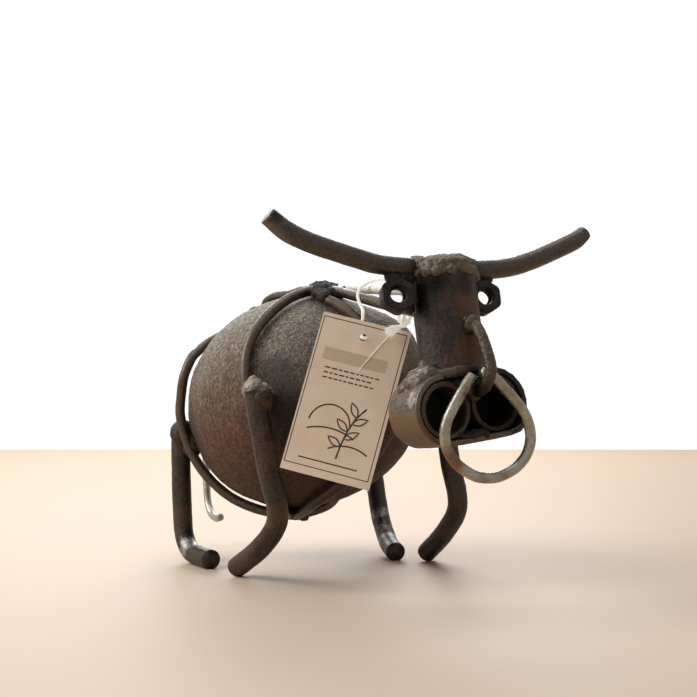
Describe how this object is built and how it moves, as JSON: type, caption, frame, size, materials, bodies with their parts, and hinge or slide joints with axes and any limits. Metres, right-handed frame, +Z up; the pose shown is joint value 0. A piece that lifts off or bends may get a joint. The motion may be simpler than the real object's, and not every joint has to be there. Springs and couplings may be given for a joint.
{
  "type": "scrap metal and stone carabao figure",
  "caption": "Standing water buffalo figure welded from steel bar, pipe, nuts and rod round a river stone, with a loose nose ring and a hanging card tag.",
  "frame": {"origin": "on the floor under the middle of the figure's length and width, without the string", "axes": "+Z up, the figure faces -Y, its left side is +X"},
  "size_m": [0.1972, 0.324, 0.1993],
  "materials": {
    "stone": "rough, gritty, water-worn",
    "weld": "rough weld metal with light rust",
    "galvanised_rod": "dull zinc with rust spots",
    "hoop_rod": "mill scale, waxed and browned",
    "leg_bar": "mill scale, polished at the bends",
    "muzzle_steel": "bare and browned steel",
    "rusty_pipe": "waxed rust",
    "horn_bar": "mill scale",
    "nut_steel": "dark oxide",
    "tag_card": "matt printed card",
    "cotton": "twisted string"
  },
  "bodies": {
    "figure": {"stone": "stone", "knot_top": "weld", "knot_bottom": "weld", "knot_rump": "weld", "tail": "galvanised_rod", "hoop_front_right": "hoop_rod", "hoop_front_left": "hoop_rod", "hoop_rear_right": "hoop_rod", "hoop_rear_left": "hoop_rod", "hoop_chest": "hoop_rod", "leg_rear_right": "leg_bar", "leg_front_right": "leg_bar", "leg_rear_left": "leg_bar", "leg_front_left": "leg_bar", "muzzle_band": "muzzle_steel", "muzzle_back": "muzzle_steel", "nostril_right": "muzzle_steel", "nostril_left": "muzzle_steel", "face_pipe": "rusty_pipe", "crown_weld": "weld", "horn_right": "horn_bar", "horn_left": "horn_bar", "eye_right": "nut_steel", "eye_left": "nut_steel", "nose_hook": "rusty_pipe", "neck_strut_lower": "hoop_rod", "neck_strut_upper": "galvanised_rod", "tag": "tag_card", "tag_string": "cotton", "string_knot": "cotton"},
    "ring": {"nose_ring": "galvanised_rod"}
  },
  "joints": [
    {"name": "nose_ring_swing", "type": "hinge", "parent": "figure", "child": "ring", "pos_m": [0.00187, -0.15048, 0.119], "axis": [-1, 0, 0], "range_deg": [-3, 150]}
  ]
}
